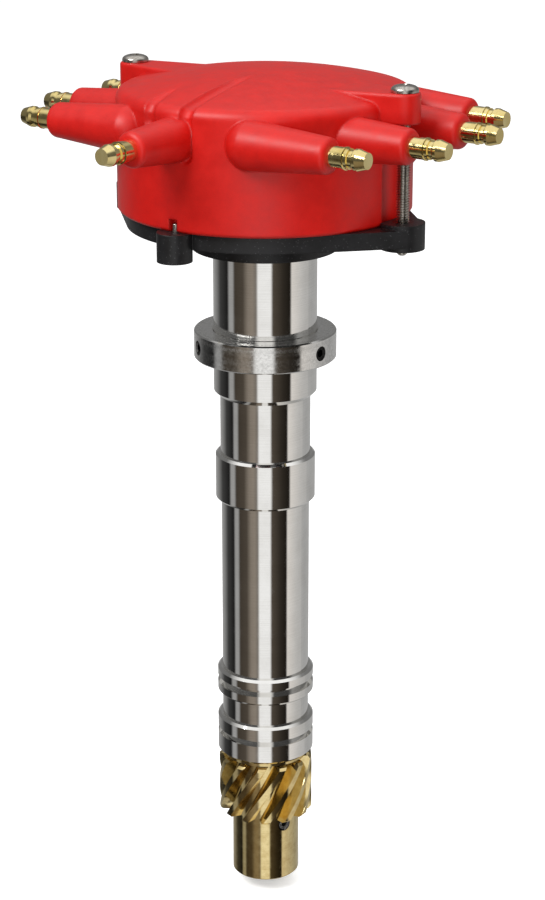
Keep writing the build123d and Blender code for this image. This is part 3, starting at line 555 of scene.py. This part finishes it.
@dataclass
class Studio:
    """Camera, lights, floor and backdrop."""

    picture_height_px: int = 900
    focal_px: float = 2327.0
    sensor_mm: float = 36.0
    clip_mm: float = 10.0
    azimuth_deg: float = 34.95
    elevation_deg: float = 18.4
    distance_mm: float = 764.6
    target_z_mm: float = -32.5
    side_step_mm: float = 2.35
    horizon: tuple[float, float] = (-0.12, 0.04)
    overhead: tuple[float, float] = (0.58, 0.80)
    floor_drop_mm: float = 190.0
    floor_size_mm: float = 9000.0
    floor_glow: float = 0.4
    floor_roughness: float = 0.9
    pale: str = "ffffff"

    def view_axes(self) -> tuple[Vector, Vector, Vector]:
        """Work out the camera's right, up and forward directions.

        Returns:
            The three unit vectors.
        """
        turn, tilt = math.radians(self.azimuth_deg), math.radians(self.elevation_deg)
        right = Vector((math.cos(turn), math.sin(turn), 0))
        level = Vector((-math.sin(turn), math.cos(turn), 0))
        forward = level * math.cos(tilt) - Vector((0, 0, math.sin(tilt)))
        return right, right.cross(forward), forward

    def place_camera(self) -> None:
        """Stand the camera at its viewing angle."""
        right, up, forward = self.view_axes()
        data = bpy.data.cameras.new("camera")
        data.sensor_fit = "VERTICAL"
        data.sensor_height = self.sensor_mm
        data.lens = self.focal_px / self.picture_height_px * self.sensor_mm
        data.clip_start = self.clip_mm * MM
        camera = bpy.data.objects.new("camera", data)
        bpy.context.scene.collection.objects.link(camera)
        place = Vector((0, 0, self.target_z_mm)) + right * self.side_step_mm - forward * self.distance_mm
        turned = Matrix((right, up, -forward)).transposed().to_4x4()
        camera.matrix_world = Matrix.Translation(place * MM) @ turned
        bpy.context.scene.camera = camera

    def hang_light(self, box: SoftBox) -> None:
        """Hang one soft box that faces the object.

        Args:
            box: The soft box.
        """
        right, _, _ = self.view_axes()
        toward = Vector((right.y, -right.x, 0))
        bearing, height = math.radians(box.bearing_deg), math.radians(box.height_deg)
        level = toward * math.cos(bearing) + right * math.sin(bearing)
        place = (level * math.cos(height) + Vector((0, 0, math.sin(height)))) * box.reach_mm
        data = bpy.data.lights.new(box.name, "AREA")
        data.shape = "RECTANGLE"
        data.size, data.size_y = (side * MM for side in box.size_mm)
        data.energy = box.watts
        lamp = bpy.data.objects.new(box.name, data)
        bpy.context.scene.collection.objects.link(lamp)
        turned = place.to_track_quat("Z", "Y").to_matrix().to_4x4()
        lamp.matrix_world = Matrix.Translation(place * MM) @ turned
        lamp.visible_glossy = box.glossy

    def paint_world(self) -> None:
        """Surround the object with strips of light and dark gaps, behind a pale view."""
        world = bpy.data.worlds.new("studio")
        bpy.context.scene.world = world
        world.use_nodes = True
        tree = world.node_tree
        tree.nodes.clear()
        way = add_node(tree, "TexCoord").outputs["Generated"]
        axes = add_node(tree, "SeparateXYZ", {0: way}).outputs
        bearing = calc(tree, "ARCTAN2", axes["Y"], axes["X"])
        front = math.radians(90 - self.azimuth_deg)
        turned = calc(tree, "DIVIDE", calc(tree, "ADD", bearing, front), 2 * math.pi)
        # Half a turn puts the camera's bearing at the ramp's middle; a whole one keeps the sum positive.
        share = calc(tree, "FRACT", calc(tree, "ADD", turned, 1.5))
        low = shade_ramp(tree, share, [strip.stop() for strip in LOW_STRIPS])
        high = shade_ramp(tree, share, [strip.stop() for strip in HIGH_STRIPS])
        raised = add_node(tree, "MapRange", {"Value": axes["Z"], "From Min": self.horizon[0],
                                             "From Max": self.horizon[1]})
        room = add_node(tree, "MixRGB", {"Fac": raised.outputs[0], "Color1": low, "Color2": high})
        above = add_node(tree, "MapRange", {"Value": axes["Z"], "From Min": self.overhead[0],
                                            "From Max": self.overhead[1]})
        lit = add_node(tree, "MixRGB", {"Fac": above.outputs[0], "Color1": room.outputs[0],
                                        "Color2": linear("ffffff")})
        seen = add_node(tree, "LightPath").outputs["Is Camera Ray"]
        shown = add_node(tree, "MixRGB", {"Fac": seen, "Color1": lit.outputs[0],
                                          "Color2": linear(self.pale)})
        glow = add_node(tree, "Background", {"Color": shown.outputs[0], "Strength": 1.0})
        add_node(tree, "OutputWorld", {"Surface": glow.outputs[0]})

    def lay_floor(self) -> None:
        """Lay the plain pale floor."""
        ground = bmesh.new()
        bmesh.ops.create_grid(ground, x_segments=1, y_segments=1, size=self.floor_size_mm * MM / 2)
        bmesh.ops.translate(ground, verts=ground.verts, vec=(0, 0, -self.floor_drop_mm * MM))
        data = bpy.data.meshes.new("floor")
        ground.to_mesh(data)
        ground.free()
        floor = bpy.data.objects.new("floor", data)
        bpy.context.scene.collection.objects.link(floor)
        floor.visible_glossy = False
        floor.visible_diffuse = False
        material = bpy.data.materials.new("pale_floor_paper")
        material.use_nodes = True
        shader = material.node_tree.nodes["Principled BSDF"]
        shader.inputs["Base Color"].default_value = linear(self.pale)
        shader.inputs["Roughness"].default_value = self.floor_roughness
        shader.inputs["Emission Color"].default_value = linear(self.pale)
        shader.inputs["Emission Strength"].default_value = self.floor_glow
        data.materials.append(material)

    def build(self) -> None:
        """Set up the whole studio."""
        self.place_camera()
        self.paint_world()
        self.lay_floor()
        for box in SOFT_BOXES:
            self.hang_light(box)
        bpy.context.scene.view_settings.view_transform = "Standard"


def carve(solid: bmesh.types.BMesh, cutters: Sequence[bmesh.types.BMesh]) -> bmesh.types.BMesh:
    """Cut closed shapes out of a closed shape.

    Args:
        solid: The shape that is cut; it is freed here.
        cutters: The shapes that are cut away; they are freed too.

    Returns:
        The cut shape, as a new bmesh.
    """
    objects = []
    for mesh in (solid, *cutters):
        data = bpy.data.meshes.new("blank")
        mesh.to_mesh(data)
        mesh.free()
        made = bpy.data.objects.new("blank", data)
        bpy.context.scene.collection.objects.link(made)
        objects.append(made)
    for cutter in objects[1:]:
        cut = objects[0].modifiers.new("cut", "BOOLEAN")
        cut.operation, cut.solver, cut.object = "DIFFERENCE", "EXACT", cutter
    bpy.context.view_layer.update()
    carved = bmesh.new()
    carved.from_object(objects[0], bpy.context.evaluated_depsgraph_get())
    for made in objects:
        data = made.data
        bpy.data.objects.remove(made)
        bpy.data.meshes.remove(data)
    return carved


def turn_on_lathe(outline: Sequence[tuple[float, float]], steps: int) -> bmesh.types.BMesh:
    """Spin an outline about Z into a closed solid.

    Args:
        outline: Radius and height of each point, both ends on the axis.
        steps: How many sides the solid has.

    Returns:
        The solid, as a new bmesh.
    """
    mesh = bmesh.new()
    points = [mesh.verts.new((radius, 0, height)) for radius, height in outline]
    edges = [mesh.edges.new(pair) for pair in zip(points, points[1:])]
    bmesh.ops.spin(mesh, geom=points + edges, axis=(0, 0, 1), cent=(0, 0, 0), angle=2 * math.pi,
                   steps=steps, use_merge=True)
    bmesh.ops.remove_doubles(mesh, verts=mesh.verts, dist=WELD_MM)
    bmesh.ops.recalc_face_normals(mesh, faces=mesh.faces)
    return mesh


def join(target: bmesh.types.BMesh, added: bmesh.types.BMesh, matrix: Matrix) -> None:
    """Add a moved copy of one bmesh to another.

    Args:
        target: The bmesh that grows.
        added: The bmesh that is copied in.
        matrix: Where the copy goes.
    """
    data = bpy.data.meshes.new("copy")
    added.to_mesh(data)
    data.transform(matrix)
    target.from_mesh(data)
    bpy.data.meshes.remove(data)


def wind(profile: Sequence[tuple[float, float]], turns: float, pitch: float,
         turn_steps: int) -> bmesh.types.BMesh:
    """Wind a closed profile about Z into a helix with closed ends.

    Args:
        profile: Radius and height of each point of the profile, in order.
        turns: How many turns it makes.
        pitch: How far it rises in one turn.
        turn_steps: How many steps one turn has.

    Returns:
        The helix, as a new bmesh.
    """
    mesh = bmesh.new()
    points = [mesh.verts.new((radius, 0, height)) for radius, height in profile]
    edges = [mesh.edges.new((points[k], points[(k + 1) % len(points)])) for k in range(len(points))]
    bmesh.ops.spin(mesh, geom=points + edges, axis=(0, 0, 1), cent=(0, 0, 0), angle=turns * 2 * math.pi,
                   steps=round(turns * turn_steps), dvec=(0, 0, pitch / turn_steps))
    rims = [edge for edge in mesh.edges if edge.is_boundary]
    bmesh.ops.holes_fill(mesh, edges=rims, sides=len(points))
    bmesh.ops.recalc_face_normals(mesh, faces=mesh.faces)
    return mesh


@dataclass
class CapScrews:
    """The two long pan-head screws, each with a rolled thread and a cross recess."""

    pitch_mm: float = 0.794
    thread_radius_mm: float = 2.08
    thread_depth_mm: float = 0.46
    ridge_sink_mm: float = 0.05
    ridge_shares: tuple[float, float, float, float] = (0.08, 0.42, 0.58, 0.92)
    tip_mm: float = 0.6
    neck_step_mm: float = 0.12
    plain_shank_mm: float = 9.6
    head_radius_mm: float = 4.3
    head_height_mm: float = 2.4
    head_foot_mm: float = 0.15
    head_edge_share: float = 0.30
    crown_power: float = 0.8
    crown_steps: int = 9
    recess_length_mm: float = 5.0
    recess_width_mm: float = 1.15
    recess_depth_mm: float = 1.5
    recess_taper: tuple[float, float] = (0.45, 0.6)
    head_turns_deg: tuple[float, float] = (20, 65)
    steps: int = 40
    turn_steps: int = 20

    def head(self) -> bmesh.types.BMesh:
        """Build a pan head that stands on Z = 0, with its cross recess.

        Returns:
            The head, as a new bmesh.
        """
        radius, height = self.head_radius_mm, self.head_height_mm
        edge = height * self.head_edge_share
        outline = [(0, 0), (radius - self.head_foot_mm, 0), (radius, self.head_foot_mm)]
        for k in range(self.crown_steps):
            angle = math.radians(90 * k / self.crown_steps)
            outline.append((radius * math.cos(angle) ** self.crown_power,
                            edge + (height - edge) * math.sin(angle)))
        outline.append((0, height))
        arms = []
        for turn in (0.0, 90.0):
            arm = bmesh.new()
            bmesh.ops.create_cube(arm, size=1.0)
            low = [vert for vert in arm.verts if vert.co.z < 0]
            bmesh.ops.scale(arm, vec=(*self.recess_taper, 1), verts=low)
            size = (self.recess_length_mm, self.recess_width_mm, self.recess_depth_mm * 2)
            bmesh.ops.scale(arm, vec=size, verts=arm.verts)
            bmesh.ops.rotate(arm, matrix=Matrix.Rotation(math.radians(turn), 3, "Z"), verts=arm.verts)
            bmesh.ops.translate(arm, vec=(0, 0, height), verts=arm.verts)
            arms.append(arm)
        return carve(turn_on_lathe(outline, self.steps), arms)

    def shank(self, length: float) -> bmesh.types.BMesh:
        """Build the shank below Z = 0: a plain neck, a core and one thread ridge wound round it.

        Args:
            length: From the head's seat to the tip.

        Returns:
            The shank, as a new bmesh.
        """
        core = self.thread_radius_mm - self.thread_depth_mm
        neck, step = -self.plain_shank_mm, self.neck_step_mm
        into_head = self.ridge_sink_mm
        outline = [(0, -length), (core - self.tip_mm, -length), (core, self.tip_mm - length),
                   (core, neck), (core + step, neck + step), (core + step, into_head), (0, into_head)]
        mesh = turn_on_lathe(outline, self.steps)
        turns = int((length - self.tip_mm) / self.pitch_mm) - 1
        root, crest = core - self.ridge_sink_mm, self.thread_radius_mm
        foot = self.tip_mm - length
        profile = [(radius, foot + share * self.pitch_mm)
                   for radius, share in zip((root, crest, crest, root), self.ridge_shares)]
        ridge = wind(profile, turns, self.pitch_mm, self.turn_steps)
        join(mesh, ridge, Matrix.Identity(4))
        ridge.free()
        return mesh

    def build(self, shop: Workshop) -> None:
        """Build both cap screws in place of the plain ones.

        Args:
            shop: The workshop that makes the pieces.
        """
        low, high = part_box("cap_screws")
        seat = high[2] / MM - self.head_height_mm
        offset = high[0] / MM - self.head_radius_mm
        screw = self.head()
        shank = self.shank(seat - low[2] / MM)
        join(screw, shank, Matrix.Identity(4))
        pair = bmesh.new()
        for side, turn in zip((1, -1), self.head_turns_deg):
            spot = Matrix.Translation((side * offset, 0, seat))
            join(pair, screw, spot @ Matrix.Rotation(math.radians(turn), 4, "Z"))
        screw.free()
        shank.free()
        shop.piece("cap_screws_threaded", pair, "housing_body", shop.book.stainless,
                   ["cap_screws"])


@dataclass
class GearPin:
    """The coiled spring pin through the gear's hub."""

    radius_mm: float = 2.38
    heading_deg: float = -20.2
    strip_mm: float = 0.42
    gap_mm: float = 0.10
    coils: float = 2.3
    steps_per_turn: int = 32
    length_mm: float = 22.2

    def build(self, shop: Workshop) -> None:
        """Wind the strip into the pin and set it in the hub.

        Args:
            shop: The workshop that makes the pieces.
        """
        low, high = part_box("gear_roll_pin")
        mesh = bmesh.new()
        outer = mesh.verts.new((self.radius_mm, 0, -self.length_mm / 2))
        inner = mesh.verts.new((self.radius_mm - self.strip_mm, 0, -self.length_mm / 2))
        front = [mesh.edges.new((outer, inner))]
        shrink = (self.strip_mm + self.gap_mm) / self.steps_per_turn
        turn = Matrix.Rotation(2 * math.pi / self.steps_per_turn, 3, "Z")
        for _ in range(int(self.coils * self.steps_per_turn)):
            grown = bmesh.ops.extrude_edge_only(mesh, edges=front)["geom"]
            front = [item for item in grown if isinstance(item, bmesh.types.BMEdge)]
            moved = [item for item in grown if isinstance(item, bmesh.types.BMVert)]
            bmesh.ops.rotate(mesh, matrix=turn, cent=(0, 0, 0), verts=moved)
            for vert in moved:
                flat = Vector((vert.co.x, vert.co.y, 0)).normalized()
                bmesh.ops.translate(mesh, vec=-shrink * flat, verts=[vert])
        raised = bmesh.ops.extrude_face_region(mesh, geom=mesh.faces[:], use_keep_orig=True)["geom"]
        top = [item for item in raised if isinstance(item, bmesh.types.BMVert)]
        bmesh.ops.translate(mesh, vec=(0, 0, self.length_mm), verts=top)
        bmesh.ops.recalc_face_normals(mesh, faces=mesh.faces)
        spot = Matrix.Translation((0, 0, (low[2] + high[2]) / 2 / MM))
        laid_down = Matrix.Rotation(math.radians(90), 4, "Y")
        heading = Matrix.Rotation(math.radians(self.heading_deg), 4, "Z")
        bmesh.ops.transform(mesh, matrix=spot @ heading @ laid_down, verts=mesh.verts)
        shop.piece("gear_pin_coiled", mesh, "shaft_body", shop.book.spring_steel,
                   ["gear_roll_pin"])


@dataclass
class BrushSpring:
    """The coil spring that presses the carbon brush on the rotor."""

    wire_mm: float = 0.5
    turns: float = 4.0
    travel_mm: float = 1.5
    wire_sides: int = 8
    turn_steps: int = 28

    def build(self, shop: Workshop) -> None:
        """Wind the spring in place of the plain one, on a mesh of its own.

        Args:
            shop: The workshop that makes the pieces.
        """
        low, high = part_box("brush_spring")
        wire = self.wire_mm / 2
        centre = high[0] / MM - wire
        rise = (high[2] - low[2]) / MM - self.wire_mm
        start = low[2] / MM + wire
        angles = [math.radians(360 / self.wire_sides * k) for k in range(self.wire_sides)]
        profile = [(centre + wire * math.cos(angle), start + wire * math.sin(angle)) for angle in angles]
        mesh = wind(profile, self.turns, rise / self.turns, self.turn_steps)
        spring = shop.piece("brush_spring_coiled", mesh, "housing_body", shop.book.ground_steel,
                            ["brush_spring"])
        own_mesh(spring)


@dataclass(frozen=True)
class SubAssembly:
    """CAD nodes that belong together on the bench, by the finish that they get."""

    name: str
    finishes: tuple[tuple[Finish, tuple[str, ...]], ...]

    def dress(self, shop: Workshop) -> None:
        """Put each finish on its nodes.

        Args:
            shop: The workshop that holds the nodes.
        """
        for finish, nodes in self.finishes:
            shop.dress(finish, *nodes)
        LOG.info("%s is dressed", self.name)


def sub_assemblies(book: FinishBook) -> list[SubAssembly]:
    """List the distributor's sub-assemblies from the top down.

    Args:
        book: The finishes.

    Returns:
        The sub-assemblies, which together hold every CAD node.
    """
    return [
        SubAssembly("cap", (
            (book.red_polyester, ("distributor_cap",)),
            (book.brass_along_x, ("plug_terminals",)),
            (book.brass_along_y, ("coil_terminal",)),
            (book.brass_upright, ("plug_electrodes", "coil_conductor")),
            (book.carbon, ("carbon_brush",)),
            (book.ground_steel, ("brush_spring",)),
            (book.stainless, ("cap_screws",)))),
        SubAssembly("base", (
            (book.black_nylon, ("cap_base",)),
            (book.black_oxide, ("ear_inserts",)),
            (book.stainless, ("base_screws", "locating_pin")))),
        SubAssembly("housing", (
            (book.polished_aluminium, ("housing",)),
            (book.gear_bronze, ("lower_bushing", "thrust_washer")))),
        SubAssembly("slip collar", (
            (book.turned_aluminium, ("slip_collar",)),
            (book.black_oxide, ("collar_set_screws",)))),
        SubAssembly("bearing", (
            (book.ground_steel, ("bearing_outer_race", "bearing_inner_race", "bearing_balls",
                                 "bearing_shields", "bearing_clip")),
            (book.brass_upright, ("bearing_cage",)))),
        SubAssembly("rotor", (
            (book.turned_aluminium, ("rotor_hub",)),
            (book.rotor_nylon, ("rotor_body",)),
            (book.brass_upright, ("rotor_blade",)),
            (book.stainless, ("rotor_screws",)))),
        SubAssembly("shaft and gear", (
            (book.ground_steel, ("main_shaft",)),
            (book.stainless, ("thrust_shim",)),
            (book.gear_bronze, ("drive_gear",)),
            (book.black_oxide, ("gear_roll_pin",))))]


def main() -> None:
    """Dress the distributor, from the studio to the last screw."""
    logging.basicConfig(level=logging.INFO)
    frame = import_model()
    Studio().build()
    shop = Workshop(frame)
    for assembly in sub_assemblies(shop.book):
        assembly.dress(shop)
    for detail in (CapScrews(), GearPin(), BrushSpring()):
        detail.build(shop)


if __name__ == "__main__":
    main()
